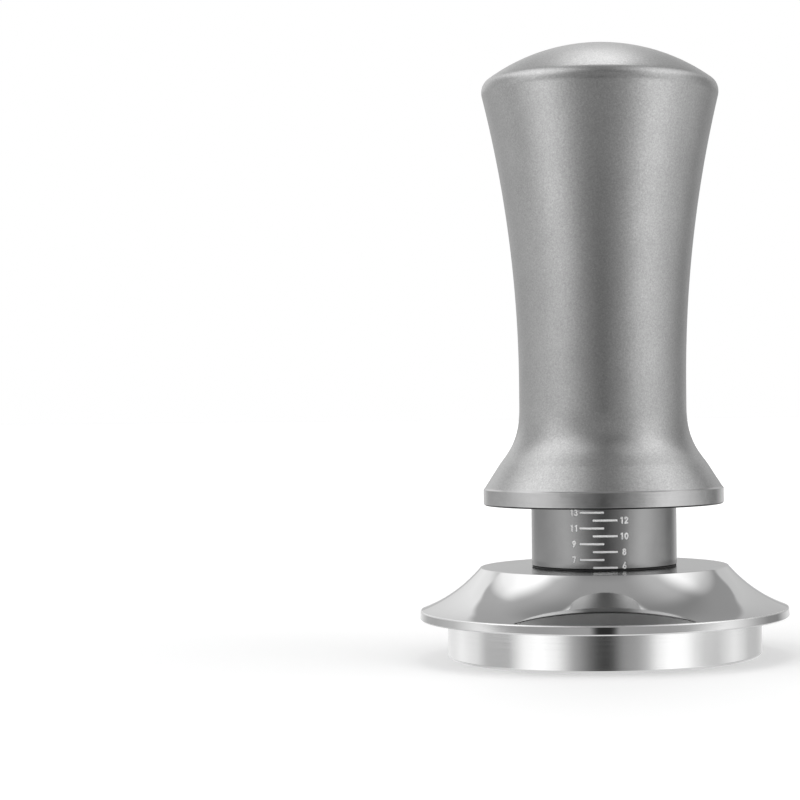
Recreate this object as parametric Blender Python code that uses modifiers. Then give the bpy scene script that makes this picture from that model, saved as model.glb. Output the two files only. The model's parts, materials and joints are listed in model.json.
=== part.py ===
"""Self-levelling, calibrated espresso tamper with a depth scale, as an assembly of separate pieces.

Run with: blender --background --python part.py (or from the Text editor).

Frame: origin at the centre of the base's bottom face, +Z up the shaft, +X to the user's right.
The scale's numbers face -Y. All lengths below are in millimetres and are turned into metres by MM.

Three bodies slide on one axis, the Z axis:
  base    the tamping base, the shaft screwed into it, and what is fixed to the shaft
  brim    the levelling brim and the scale sleeve that stands on it; slides up the shaft
  handle  the handle shell and what is fixed inside it; slides down over the sleeve
"""

import math

import bmesh
import bpy

MM = 0.001

# ---------------------------------------------------------------- driving dimensions (mm)
TOTAL_HEIGHT = 100.0

# tamping base
BASE_RADIUS = 25.675
BASE_TOP_Z = 7.0
BASE_BOSS_RADIUS = 9.0
BASE_BOSS_TOP_Z = 8.3
BASE_EDGE_CHAMFER = 0.35
BASE_THREAD_RADIUS = 3.3
BASE_THREAD_FLOOR_Z = 3.0

# levelling brim
BRIM_RADIUS = 30.2
BRIM_UNDERSIDE_Z = 6.2
BRIM_TOP_Z = 14.5
BRIM_FLAT_RADIUS = 20.3
BRIM_EDGE_TOP_Z = 7.45
BRIM_EDGE_ROUND = 0.3
BRIM_TOP_SLOPE_DEG = 47.0
BRIM_FOOT_SLOPE_DEG = 19.0
BRIM_CAVITY_RADIUS = 26.0
BRIM_CAVITY_WALL_Z = 7.9
BRIM_CAVITY_ROOF_Z = 12.7
BRIM_CAVITY_ROOF_RADIUS = 20.6
BRIM_HUB_RADIUS = 9.8
BRIM_HUB_BOTTOM_Z = 9.9
BRIM_SPIGOT_RADIUS = 9.9
BRIM_SPIGOT_TOP_Z = 20.5
BRIM_BORE_RADIUS = 6.6

# scale sleeve
SLEEVE_RADIUS = 11.9
SLEEVE_BORE_RADIUS = 10.2
SLEEVE_BOTTOM_Z = 14.86
SLEEVE_TOP_Z = 35.0

# shaft with two flats
SHAFT_RADIUS = 4.5
SHAFT_HALF_FLAT = 3.75
SHAFT_SHOULDER_Z = 9.6
SHAFT_TOP_SHOULDER_Z = 53.2
SHAFT_END_RADIUS = 3.0
SHAFT_BOTTOM_Z = 3.3
SHAFT_SPIGOT_TOP_Z = 56.7
SHAFT_SCREW_HOLE_RADIUS = 2.1
SHAFT_SCREW_HOLE_Z = 45.4
SLIDING_GAP = 0.2

# handle
HANDLE_BOTTOM_Z = 24.65
RIM_RADIUS = 19.7
RIM_TOP_Z = 27.45
RIM_CHAMFER = 0.25
WAIST_RADIUS = 13.71
WAIST_Z = 44.3
SIDE_ARC_RADIUS = 199.0
WIDEST_Z = 91.4
FLARE_TOP_Z = 40.5
FLARE_PULL_Z = 35.0
FLARE_CONE_RADIUS = 17.05
FLARE_CONE_Z = 31.2
FLARE_CONE_PULL = 2.18
DOME_RADIUS = 31.3
DOME_EDGE_RADIUS = 18.6
SHOULDER_PULL = 0.6
GUIDE_RING_SEAT_RADIUS = 13.5
GUIDE_RING_SEAT_TOP_Z = 31.0
CIRCLIP_GROOVE = (14.3, 25.3, 26.4)
SLEEVE_ROOM_RADIUS = 12.2
NUT_SEAT_RADIUS = 11.6
NUT_SEAT_Z = 45.7
NUT_SEAT_TOP_Z = 51.3
CHAMBER_RADIUS = 10.4
CHAMBER_TOP_Z = 86.3
DRILL_POINT_Z = 88.6

# springs
MAIN_WIRE_RADIUS = 1.1
MAIN_COIL_RADIUS = 8.2
MAIN_SPAN_Z = (55.9, 84.6)
MAIN_TURNS = 6.0
RETURN_WIRE_RADIUS = 0.45
RETURN_COIL_RADIUS = 8.0
RETURN_SPAN_Z = (22.3, 40.0)
RETURN_TURNS = 6.5

# facets round a full turn
FACETS = 36
SMALL_FACETS = 20

# ---------------------------------------------------------------- clean start
for old in list(bpy.data.objects):
    bpy.data.objects.remove(old, do_unlink=True)

scene = bpy.context.scene
parts = bpy.data.collections.new("espresso_tamper")
cutters = bpy.data.collections.new("cutters")
scene.collection.children.link(parts)
scene.collection.children.link(cutters)


# ---------------------------------------------------------------- materials
def metal(name, colour, roughness, metallic=1.0):
    material = bpy.data.materials.new(name)
    material.use_nodes = True
    shader = material.node_tree.nodes["Principled BSDF"]
    shader.inputs["Base Color"].default_value = (*colour, 1.0)
    shader.inputs["Roughness"].default_value = roughness
    shader.inputs["Metallic"].default_value = metallic
    material.diffuse_color = (*colour, 1.0)
    return material


BLASTED = metal("blasted_grey_aluminium", (0.30, 0.30, 0.30), 0.42)
SATIN = metal("satin_grey_metal", (0.26, 0.26, 0.26), 0.30)
POLISHED = metal("polished_steel", (0.62, 0.62, 0.62), 0.05)
TURNED = metal("turned_steel", (0.60, 0.60, 0.60), 0.16)
GROUND = metal("ground_steel", (0.50, 0.50, 0.50), 0.25)
SPRING = metal("spring_steel", (0.32, 0.31, 0.30), 0.32)
ZINC = metal("zinc_plated_steel", (0.55, 0.56, 0.56), 0.35)
BLACK_OXIDE = metal("black_oxide_steel", (0.03, 0.03, 0.03), 0.35)
BRASS = metal("turned_brass", (0.60, 0.44, 0.20), 0.28)
ACETAL = metal("white_acetal", (0.78, 0.77, 0.73), 0.45, 0.0)
ACETAL_BLACK = metal("black_acetal", (0.03, 0.03, 0.03), 0.45, 0.0)
RUBBER = metal("black_rubber", (0.02, 0.02, 0.02), 0.7, 0.0)


# ---------------------------------------------------------------- modelling helpers
def place(obj, material, collection=parts, sharp_deg=35.0):
    collection.objects.link(obj)
    obj.data.materials.append(material)
    if obj.type == "MESH":
        obj.data.shade_smooth()
        obj.data.set_sharp_from_angle(angle=math.radians(sharp_deg))
    return obj


def turned(name, profile, material, facets=FACETS, axis_z=0.0, collection=parts):
    """A turned piece. profile is (radius, z) in mm, down the outer side, in along the bottom and up the bore.

    A profile whose ends are off the axis is closed back to its first point.
    axis_z is where the object's own origin sits on the Z axis.
    """
    mesh = bpy.data.meshes.new(name)
    points = [(r * MM, 0.0, (z - axis_z) * MM) for r, z in profile]
    edges = [(i, i + 1) for i in range(len(points) - 1)]
    if profile[0][0] > 0 and profile[-1][0] > 0:
        edges.append((len(points) - 1, 0))
    mesh.from_pydata(points, edges, [])
    obj = bpy.data.objects.new(name, mesh)
    obj.location.z = axis_z * MM
    screw = obj.modifiers.new("turn", "SCREW")
    screw.axis = "Z"
    screw.angle = math.tau
    screw.screw_offset = 0.0
    screw.steps = facets
    screw.render_steps = facets
    screw.use_merge_vertices = True
    screw.merge_threshold = 0.00002
    screw.use_smooth_shade = True
    collection.objects.link(obj)
    mesh.materials.append(material)
    return obj


def ring(name, inner, outer, z0, z1, material, facets=SMALL_FACETS, chamfer=0.0, axis_z=0.0):
    """A flat or tall ring with an optional chamfer on its four edges."""
    c = chamfer
    if c:
        profile = [
            (outer - c, z1), (outer, z1 - c), (outer, z0 + c), (outer - c, z0),
            (inner + c, z0), (inner, z0 + c), (inner, z1 - c), (inner + c, z1),
        ]
    else:
        profile = [(outer, z1), (outer, z0), (inner, z0), (inner, z1)]
    return turned(name, profile, material, facets, axis_z)


def cutter(obj):
    for collection in list(obj.users_collection):
        collection.objects.unlink(obj)
    cutters.objects.link(obj)
    obj.hide_render = True
    obj.display_type = "WIRE"
    return obj


def prism(name, radius, z0, z1, facets=FACETS, half_flat=None, centre=(0.0, 0.0), turn=0.0):
    """A cylinder along Z, with two flats at y = +-half_flat if half_flat is given."""
    mesh = bpy.data.meshes.new(name)
    shape = bmesh.new()
    bmesh.ops.create_cone(
        shape, cap_ends=True, segments=facets,
        radius1=radius * MM, radius2=radius * MM, depth=(z1 - z0) * MM,
    )
    for vertex in shape.verts:
        if half_flat is not None:
            vertex.co.y = max(-half_flat * MM, min(half_flat * MM, vertex.co.y))
    shape.to_mesh(mesh)
    shape.free()
    obj = bpy.data.objects.new(name, mesh)
    obj.location = (centre[0] * MM, centre[1] * MM, (z0 + z1) / 2 * MM)
    obj.rotation_euler.z = turn
    return cutter(obj)


def block(name, low, high):
    mesh = bpy.data.meshes.new(name)
    shape = bmesh.new()
    bmesh.ops.create_cube(shape, size=1.0)
    for vertex in shape.verts:
        for axis in range(3):
            vertex.co[axis] *= (high[axis] - low[axis]) * MM
    shape.to_mesh(mesh)
    shape.free()
    obj = bpy.data.objects.new(name, mesh)
    obj.location = [(low[i] + high[i]) / 2 * MM for i in range(3)]
    return cutter(obj)


def boolean(obj, other, operation="DIFFERENCE"):
    modifier = obj.modifiers.new(other.name, "BOOLEAN")
    modifier.operation = operation
    modifier.solver = "EXACT"
    modifier.object = other
    return modifier


def coil(name, wire_radius, coil_radius, span, turns, dead_turns, material, points_a_turn=16):
    """A compression spring: the end turns lie nearly flat, the turns between are evenly spaced."""
    low, high = span[0] + wire_radius, span[1] - wire_radius
    rise_dead = 2 * wire_radius * 1.14 * dead_turns
    active = turns - 2 * dead_turns
    count = int(round(turns * points_a_turn))
    data = bpy.data.curves.new(name, "CURVE")
    data.dimensions = "3D"
    data.bevel_depth = wire_radius * MM
    data.bevel_resolution = 1
    data.use_fill_caps = True
    data.render_resolution_u = 0
    spline = data.splines.new("POLY")
    spline.points.add(count)
    for i in range(count + 1):
        turn = turns * i / count
        if turn <= dead_turns:
            z = low + rise_dead * turn / dead_turns
        elif turn >= turns - dead_turns:
            z = high - rise_dead * (turns - turn) / dead_turns
        else:
            z = low + rise_dead + (high - low - 2 * rise_dead) * (turn - dead_turns) / active
        angle = math.tau * turn
        spline.points[i].co = (
            coil_radius * MM * math.cos(angle), coil_radius * MM * math.sin(angle), z * MM, 1.0,
        )
    obj = bpy.data.objects.new(name, data)
    data.materials.append(material)
    parts.objects.link(obj)
    return obj


def arc(centre, radius, start_deg, end_deg, steps):
    """Points on a circle in the (radius, z) plane, from start_deg to end_deg, ends included."""
    points = []
    for i in range(steps + 1):
        a = math.radians(start_deg + (end_deg - start_deg) * i / steps)
        points.append((centre[0] + radius * math.cos(a), centre[1] + radius * math.sin(a)))
    return points


# ---------------------------------------------------------------- the handle's outline
def side_radius(z):
    """The grip: one long hollow arc with its smallest radius at the waist."""
    t = z - WAIST_Z
    return WAIST_RADIUS + SIDE_ARC_RADIUS - math.sqrt(SIDE_ARC_RADIUS**2 - t * t)


def flare_points(steps):
    """From the waist out to the rim: a hollow curve that tightens downwards, tangent to a straight cone."""
    cone = (RIM_RADIUS - RIM_CHAMFER - FLARE_CONE_RADIUS, FLARE_CONE_Z - RIM_TOP_Z)
    length = math.hypot(*cone)
    handles = [
        (WAIST_RADIUS, FLARE_TOP_Z),
        (WAIST_RADIUS, FLARE_PULL_Z),
        (FLARE_CONE_RADIUS - FLARE_CONE_PULL * (cone[0] / length + 0.06), FLARE_CONE_Z + FLARE_CONE_PULL * cone[1] / length),
        (FLARE_CONE_RADIUS, FLARE_CONE_Z),
    ]
    points = []
    for i in range(steps + 1):
        t = i / steps
        weights = ((1 - t) ** 3, 3 * t * (1 - t) ** 2, 3 * t * t * (1 - t), t**3)
        points.append(tuple(sum(w * h[k] for w, h in zip(weights, handles)) for k in (0, 1)))
    return points


def handle_outline():
    points = []
    dome_centre_z = TOTAL_HEIGHT - DOME_RADIUS
    edge_angle = math.degrees(math.acos(DOME_EDGE_RADIUS / DOME_RADIUS))
    points += arc((0.0, dome_centre_z), DOME_RADIUS, 90.0, edge_angle, 6)
    points[0] = (0.0, TOTAL_HEIGHT)
    # rounded corner between the dome and the grip: its handles point to where their tangents meet
    r0, z0 = points[-1]
    r2, z2 = side_radius(WIDEST_Z), WIDEST_Z
    dome_slope = -r0 / (z0 - dome_centre_z)
    side_slope = (side_radius(z2 + 0.01) - r2) / 0.01
    z1 = (z0 + dome_slope * (r2 - side_slope * z2 - r0)) / (1 - dome_slope * side_slope)
    r1 = r2 + side_slope * (z1 - z2)
    near = (r0 + (r1 - r0) * SHOULDER_PULL, z0 + (z1 - z0) * SHOULDER_PULL)
    far = (r2 + (r1 - r2) * SHOULDER_PULL, z2 + (z1 - z2) * SHOULDER_PULL)
    for i in range(1, 4):
        t = i / 4
        weights = ((1 - t) ** 3, 3 * t * (1 - t) ** 2, 3 * t * t * (1 - t), t**3)
        points.append(tuple(sum(w * h[k] for w, h in zip(weights, ((r0, z0), near, far, (r2, z2)))) for k in (0, 1)))
    steps = 8
    for i in range(steps):
        z = z2 + (FLARE_TOP_Z - z2) * i / steps
        # below the waist the grip stays at its smallest radius until the flare starts
        points.append((side_radius(max(z, WAIST_Z)), z))
    points += flare_points(4)
    points += [
        (RIM_RADIUS - RIM_CHAMFER, RIM_TOP_Z),
        (RIM_RADIUS, RIM_TOP_Z - RIM_CHAMFER),
        (RIM_RADIUS, HANDLE_BOTTOM_Z + RIM_CHAMFER),
        (RIM_RADIUS - RIM_CHAMFER, HANDLE_BOTTOM_Z),
    ]
    return points


def handle_bore():
    groove_r, groove_z0, groove_z1 = CIRCLIP_GROOVE
    return [
        (GUIDE_RING_SEAT_RADIUS, HANDLE_BOTTOM_Z),
        (GUIDE_RING_SEAT_RADIUS, groove_z0),
        (groove_r, groove_z0),
        (groove_r, groove_z1),
        (GUIDE_RING_SEAT_RADIUS, groove_z1),
        (GUIDE_RING_SEAT_RADIUS, GUIDE_RING_SEAT_TOP_Z),
        (SLEEVE_ROOM_RADIUS, GUIDE_RING_SEAT_TOP_Z),
        (SLEEVE_ROOM_RADIUS, NUT_SEAT_Z),
        (NUT_SEAT_RADIUS, NUT_SEAT_Z),
        (NUT_SEAT_RADIUS, NUT_SEAT_TOP_Z),
        (CHAMBER_RADIUS, NUT_SEAT_TOP_Z),
        (CHAMBER_RADIUS, CHAMBER_TOP_Z),
        (0.0, DRILL_POINT_Z),
    ]


# ---------------------------------------------------------------- the brim's outline
def brim_flare(steps):
    """The hollow, polished slope from the flat top to the edge: its angle eases from steep to shallow."""
    edge_r = BRIM_RADIUS - BRIM_EDGE_ROUND
    start = (BRIM_FLAT_RADIUS, BRIM_TOP_Z)
    # walk along the slope with a linearly changing angle, then scale to meet the edge's rounding
    foot_angle = math.radians(BRIM_FOOT_SLOPE_DEG)
    end = (edge_r + BRIM_EDGE_ROUND * math.sin(foot_angle), BRIM_EDGE_TOP_Z + BRIM_EDGE_ROUND * math.cos(foot_angle))
    raw = [(0.0, 0.0)]
    for i in range(steps):
        t = (i + 0.5) / steps
        a = math.radians(BRIM_TOP_SLOPE_DEG + (BRIM_FOOT_SLOPE_DEG - BRIM_TOP_SLOPE_DEG) * t)
        raw.append((raw[-1][0] + math.cos(a), raw[-1][1] - math.sin(a)))
    scale_r = (end[0] - start[0]) / raw[-1][0]
    scale_z = (end[1] - start[1]) / raw[-1][1]
    points = [(start[0] + r * scale_r, start[1] + z * scale_z) for r, z in raw]
    centre = (BRIM_RADIUS - BRIM_EDGE_ROUND, BRIM_EDGE_TOP_Z)
    rounding = arc(centre, BRIM_EDGE_ROUND, 90.0 - BRIM_FOOT_SLOPE_DEG, 0.0, 3)
    return points + rounding[1:]


# ---------------------------------------------------------------- base body
base = turned("tamper_base", [
    (0.0, BASE_THREAD_FLOOR_Z),
    (BASE_THREAD_RADIUS, BASE_THREAD_FLOOR_Z),
    (BASE_THREAD_RADIUS, BASE_BOSS_TOP_Z),
    (BASE_BOSS_RADIUS - 0.3, BASE_BOSS_TOP_Z),
    (BASE_BOSS_RADIUS, BASE_BOSS_TOP_Z - 0.3),
    (BASE_BOSS_RADIUS, BASE_TOP_Z),
    (BASE_RADIUS - 0.5, BASE_TOP_Z),
    (BASE_RADIUS, BASE_TOP_Z - 0.5),
    (BASE_RADIUS, BASE_EDGE_CHAMFER),
    (BASE_RADIUS - BASE_EDGE_CHAMFER, 0.0),
    (0.0, 0.0),
], TURNED)

shaft = turned("centre_shaft", [
    (0.0, SHAFT_SCREW_HOLE_Z),
    (SHAFT_SCREW_HOLE_RADIUS, SHAFT_SCREW_HOLE_Z),
    (SHAFT_SCREW_HOLE_RADIUS, SHAFT_SPIGOT_TOP_Z),
    (SHAFT_END_RADIUS, SHAFT_SPIGOT_TOP_Z),
    (SHAFT_END_RADIUS, SHAFT_TOP_SHOULDER_Z),
    (SHAFT_RADIUS - 0.3, SHAFT_TOP_SHOULDER_Z),
    (SHAFT_RADIUS, SHAFT_TOP_SHOULDER_Z - 0.3),
    (SHAFT_RADIUS, 42.1),
    (3.9, 42.1),
    (3.9, 41.1),
    (SHAFT_RADIUS, 41.1),
    (SHAFT_RADIUS, SHAFT_SHOULDER_Z),
    (SHAFT_END_RADIUS, SHAFT_SHOULDER_Z),
    (SHAFT_END_RADIUS, SHAFT_BOTTOM_Z + 0.4),
    (SHAFT_END_RADIUS - 0.4, SHAFT_BOTTOM_Z),
    (0.0, SHAFT_BOTTOM_Z),
], GROUND, SMALL_FACETS)
for side in (-1, 1):
    near, far = SHAFT_HALF_FLAT, SHAFT_RADIUS + 1.0
    flat = block(
        "shaft_flat_%s" % ("front" if side < 0 else "rear"),
        (-6.0, min(side * near, side * far), SHAFT_SHOULDER_Z - 0.5),
        (6.0, max(side * near, side * far), SHAFT_TOP_SHOULDER_Z + 1.0),
    )
    boolean(shaft, flat)

ring("shaft_lock_washer", 3.3, 5.6, 8.55, 9.35, ZINC)
ring("brim_bumper_ring", 6.0, 8.7, 8.5, 9.65, RUBBER)
ring("return_spring_washer", 4.75, 9.2, 40.2, 40.9, ZINC)

circlip = ring("shaft_circlip", 4.15, 6.0, 41.2, 42.0, BLACK_OXIDE)
lugs = []
for side in (-1, 1):
    lug = prism("circlip_lug_%s" % ("left" if side < 0 else "right"), 1.15, 41.2, 42.0, 12, centre=(side * 1.75, -6.15))
    boolean(circlip, lug, "UNION")
boolean(circlip, block("circlip_gap", (-0.5, -9.0, 40.9), (0.5, -3.0, 42.4)))
for side in (-1, 1):
    boolean(circlip, prism("circlip_eye_%s" % ("left" if side < 0 else "right"), 0.5, 40.9, 42.4, 10, centre=(side * 1.8, -6.25)))

turned("spring_collar", [
    (6.6, 57.0), (6.8, 56.8), (6.8, 55.7), (9.7, 55.7), (9.9, 55.5), (9.9, 53.7), (9.7, 53.5),
    (3.3, 53.5), (3.3, 57.0),
], ZINC, SMALL_FACETS)

screw_head = turned("collar_screw", [
    (0.0, 60.0), (2.6, 59.8), (4.0, 59.1), (4.8, 57.9), (4.8, 57.2), (1.8, 57.2), (1.8, 46.4), (1.4, 46.0), (0.0, 46.0),
], BLACK_OXIDE, SMALL_FACETS)
boolean(screw_head, prism("screw_hex_socket", 1.75, 58.3, 61.0, 6))

# ---------------------------------------------------------------- brim body
turned("levelling_brim", [
    (BRIM_SPIGOT_RADIUS - 0.3, BRIM_SPIGOT_TOP_Z),
    (BRIM_SPIGOT_RADIUS, BRIM_SPIGOT_TOP_Z - 0.3),
    (BRIM_SPIGOT_RADIUS, BRIM_TOP_Z),
] + brim_flare(7) + [
    (BRIM_RADIUS, BRIM_UNDERSIDE_Z + 0.25),
    (BRIM_RADIUS - 0.25, BRIM_UNDERSIDE_Z),
    (BRIM_CAVITY_RADIUS, BRIM_UNDERSIDE_Z),
    (BRIM_CAVITY_RADIUS, BRIM_CAVITY_WALL_Z),
    (BRIM_CAVITY_ROOF_RADIUS, BRIM_CAVITY_ROOF_Z),
    (BRIM_HUB_RADIUS, BRIM_CAVITY_ROOF_Z),
    (BRIM_HUB_RADIUS, BRIM_HUB_BOTTOM_Z),
    (BRIM_BORE_RADIUS, BRIM_HUB_BOTTOM_Z),
    (BRIM_BORE_RADIUS, BRIM_SPIGOT_TOP_Z),
], POLISHED, FACETS, axis_z=BRIM_TOP_Z)

ring("sleeve_gasket", 10.15, 11.8, 14.52, 14.84, RUBBER, FACETS, axis_z=BRIM_TOP_Z)
ring("scale_sleeve", SLEEVE_BORE_RADIUS, SLEEVE_RADIUS, SLEEVE_BOTTOM_Z, SLEEVE_TOP_Z, SATIN, FACETS, axis_z=BRIM_TOP_Z)

brim_bush = turned("brim_bush", [
    (9.2, 21.9), (9.4, 21.7), (9.4, 20.7), (6.3, 20.7), (6.3, 10.2), (2.0, 10.2), (2.0, 21.9),
], ACETAL, SMALL_FACETS, axis_z=BRIM_TOP_Z)
boolean(brim_bush, prism("brim_bush_bore", SHAFT_RADIUS + SLIDING_GAP, 9.0, 23.0, SMALL_FACETS, SHAFT_HALF_FLAT + SLIDING_GAP))

# ---------------------------------------------------------------- handle body
turned("handle_shell", handle_outline() + handle_bore(), BLASTED, FACETS, axis_z=HANDLE_BOTTOM_Z)

ring("sleeve_guide_ring", 12.05, 13.2, 26.5, 30.7, ACETAL_BLACK, FACETS, axis_z=HANDLE_BOTTOM_Z)
snap_ring = ring("guide_ring_circlip", 12.5, 14.0, 25.5, 26.2, SPRING, FACETS, axis_z=HANDLE_BOTTOM_Z)
boolean(snap_ring, block("snap_ring_gap", (-1.6, 9.0, 25.0), (1.6, 16.0, 27.0)))

guide_nut = turned("guide_nut", [
    (11.0, 51.0), (11.3, 50.7), (11.3, 46.2), (11.0, 45.9), (6.7, 45.9), (6.7, 51.0),
], BRASS, FACETS, axis_z=HANDLE_BOTTOM_Z)
for side in (-1, 1):
    boolean(guide_nut, prism("nut_key_hole_%s" % ("left" if side < 0 else "right"), 1.1, 45.0, 48.4, 12, centre=(side * 9.0, 0.0)))

handle_bush = turned("handle_bush", [
    (8.0, 52.1), (8.2, 51.9), (8.2, 51.25), (6.4, 51.25), (6.4, 46.0), (2.0, 46.0), (2.0, 52.1),
], ACETAL, SMALL_FACETS, axis_z=HANDLE_BOTTOM_Z)
boolean(handle_bush, prism("handle_bush_bore", SHAFT_RADIUS + SLIDING_GAP, 45.0, 53.0, SMALL_FACETS, SHAFT_HALF_FLAT + SLIDING_GAP))

ring("stop_washer", 4.8, 8.0, 52.35, 53.25, RUBBER, axis_z=HANDLE_BOTTOM_Z)
turned("upper_spring_seat", [
    (9.7, 86.0), (9.9, 85.8), (9.9, 84.85), (6.7, 84.85), (6.7, 83.0), (6.4, 82.7), (3.2, 82.7), (3.2, 86.0),
], ZINC, SMALL_FACETS, axis_z=HANDLE_BOTTOM_Z)

# ---------------------------------------------------------------- springs
coil("return_spring", RETURN_WIRE_RADIUS, RETURN_COIL_RADIUS, RETURN_SPAN_Z, RETURN_TURNS, 1.0, SPRING, 14)
coil("main_spring", MAIN_WIRE_RADIUS, MAIN_COIL_RADIUS, MAIN_SPAN_Z, MAIN_TURNS, 1.0, SPRING, 16)

# ---------------------------------------------------------------- sliding axes, and their pieces under them
AXES = {
    "brim_slide_axis": (BRIM_TOP_Z, ["levelling_brim", "sleeve_gasket", "scale_sleeve", "brim_bush"]),
    "handle_press_axis": (HANDLE_BOTTOM_Z, [
        "handle_shell", "sleeve_guide_ring", "guide_ring_circlip", "guide_nut",
        "handle_bush", "stop_washer", "upper_spring_seat",
    ]),
}
for name, (z, children) in AXES.items():
    empty = bpy.data.objects.new(name, None)
    empty.empty_display_type = "SINGLE_ARROW"
    empty.empty_display_size = 0.02
    empty.location.z = z * MM
    parts.objects.link(empty)
    for child_name in children:
        child = bpy.data.objects[child_name]
        child.parent = empty
        child.location.z -= z * MM

bpy.context.view_layer.update()
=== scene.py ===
"""Looks for the self-levelling espresso tamper: fine meshes, materials, studio and camera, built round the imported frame.

Lengths are in millimetres where a name ends in no unit, and MM turns them into metres.
Sizes of the replaced pieces come from the CAD nodes' boxes and from the same design constants.
"""

import json
import math

import bpy
import numpy as np
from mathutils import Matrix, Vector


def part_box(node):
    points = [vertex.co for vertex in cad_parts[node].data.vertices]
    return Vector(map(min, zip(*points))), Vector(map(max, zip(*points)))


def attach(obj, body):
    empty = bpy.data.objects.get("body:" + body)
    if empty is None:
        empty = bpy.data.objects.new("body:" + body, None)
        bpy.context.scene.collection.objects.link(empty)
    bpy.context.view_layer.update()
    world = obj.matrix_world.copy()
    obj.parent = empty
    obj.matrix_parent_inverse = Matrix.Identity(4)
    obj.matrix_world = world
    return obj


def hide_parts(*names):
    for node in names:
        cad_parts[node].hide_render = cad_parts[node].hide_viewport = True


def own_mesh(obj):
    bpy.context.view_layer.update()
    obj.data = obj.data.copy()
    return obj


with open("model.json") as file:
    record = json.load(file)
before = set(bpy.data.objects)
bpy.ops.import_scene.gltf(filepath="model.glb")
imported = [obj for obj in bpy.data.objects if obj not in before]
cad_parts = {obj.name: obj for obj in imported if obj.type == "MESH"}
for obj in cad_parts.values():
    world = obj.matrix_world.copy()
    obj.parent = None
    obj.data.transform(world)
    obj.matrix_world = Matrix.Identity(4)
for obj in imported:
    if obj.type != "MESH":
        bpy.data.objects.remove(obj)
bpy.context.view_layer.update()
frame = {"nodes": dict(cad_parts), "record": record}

MM = 0.001


# ---------------------------------------------------------------- node material helper
class Shader:
    """A small wrapper for building a node material round one Principled shader."""

    def __init__(self, name, **values):
        self.material = bpy.data.materials.new(name)
        self.material.use_nodes = True
        self.tree = self.material.node_tree
        self.principled = self.tree.nodes["Principled BSDF"]
        self.coords = self.tree.nodes.new("ShaderNodeTexCoord")
        self.set(**values)

    def set(self, **values):
        for key, value in values.items():
            socket = self.principled.inputs[key.replace("_", " ").replace("IOR Level", "IOR Level")]
            socket.default_value = value

    def node(self, kind, **settings):
        node = self.tree.nodes.new("ShaderNode" + kind)
        for key, value in settings.items():
            setattr(node, key, value)
        return node

    def link(self, source, target):
        self.tree.links.new(source, target)
        return source

    def feed(self, node, **inputs):
        for key, value in inputs.items():
            socket = node.inputs[int(key[1:])] if key[0] == "i" and key[1:].isdigit() else node.inputs[key.replace("_", " ")]
            if hasattr(value, "is_output"):
                self.tree.links.new(value, socket)
            else:
                socket.default_value = value
        return node

    def noise(self, scale, detail=4.0, roughness=0.5, stretch=None, distortion=0.0):
        node = self.node("TexNoise")
        self.feed(node, Scale=scale, Detail=detail, Roughness=roughness, Distortion=distortion)
        self.link(self.stretched(stretch), node.inputs["Vector"])
        return node.outputs["Fac"]

    def cells(self, scale, stretch=None, feature="F1", randomness=1.0):
        node = self.node("TexVoronoi", feature=feature)
        self.feed(node, Scale=scale, Randomness=randomness)
        self.link(self.stretched(stretch), node.inputs["Vector"])
        return node.outputs["Distance"]

    def stretched(self, stretch):
        if stretch is None:
            return self.coords.outputs["Object"]
        mapping = self.node("Mapping")
        mapping.inputs["Scale"].default_value = stretch
        self.link(self.coords.outputs["Object"], mapping.inputs["Vector"])
        return mapping.outputs["Vector"]

    def math(self, operation, a, b=0.0, clamp=False):
        node = self.node("Math", operation=operation, use_clamp=clamp)
        self.feed(node, i0=a, i1=b)
        return node.outputs[0]

    def span(self, value, from_low, from_high, to_low, to_high):
        node = self.node("MapRange", clamp=True)
        self.feed(node, i0=value, i1=from_low, i2=from_high, i3=to_low, i4=to_high)
        return node.outputs[0]

    def polar(self):
        """(radius from the Z axis, angle, height) in the object's own frame."""
        split = self.node("SeparateXYZ")
        self.link(self.coords.outputs["Object"], split.inputs[0])
        x, y, z = split.outputs
        radius = self.math("SQRT", self.math("ADD", self.math("MULTIPLY", x, x), self.math("MULTIPLY", y, y)))
        angle = self.math("ARCTAN2", y, x)
        return radius, angle, z

    def vector(self, x, y, z):
        node = self.node("CombineXYZ")
        self.feed(node, i0=x, i1=y, i2=z)
        return node.outputs[0]

    def colour(self, value, stops):
        """A colour ramp. stops is a list of (position, grey or (r, g, b))."""
        ramp = self.node("ValToRGB")
        elements = ramp.color_ramp.elements
        while len(elements) < len(stops):
            elements.new(0.5)
        for element, (position, colour) in zip(elements, stops):
            element.position = position
            rgb = colour if isinstance(colour, tuple) else (colour,) * 3
            element.color = (*rgb, 1.0)
        self.link(value, ramp.inputs["Fac"])
        return ramp.outputs["Color"]

    def to(self, socket, name):
        self.link(socket, self.principled.inputs[name])

    def bump(self, height, distance, strength=1.0, below=None):
        node = self.node("Bump")
        self.feed(node, Strength=strength, Distance=distance, Height=height)
        if below is not None:
            self.link(below, node.inputs["Normal"])
        return node.outputs["Normal"]

    def turned_tangent(self):
        node = self.node("Tangent", direction_type="RADIAL", axis="Z")
        self.link(node.outputs[0], self.principled.inputs["Tangent"])


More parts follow.
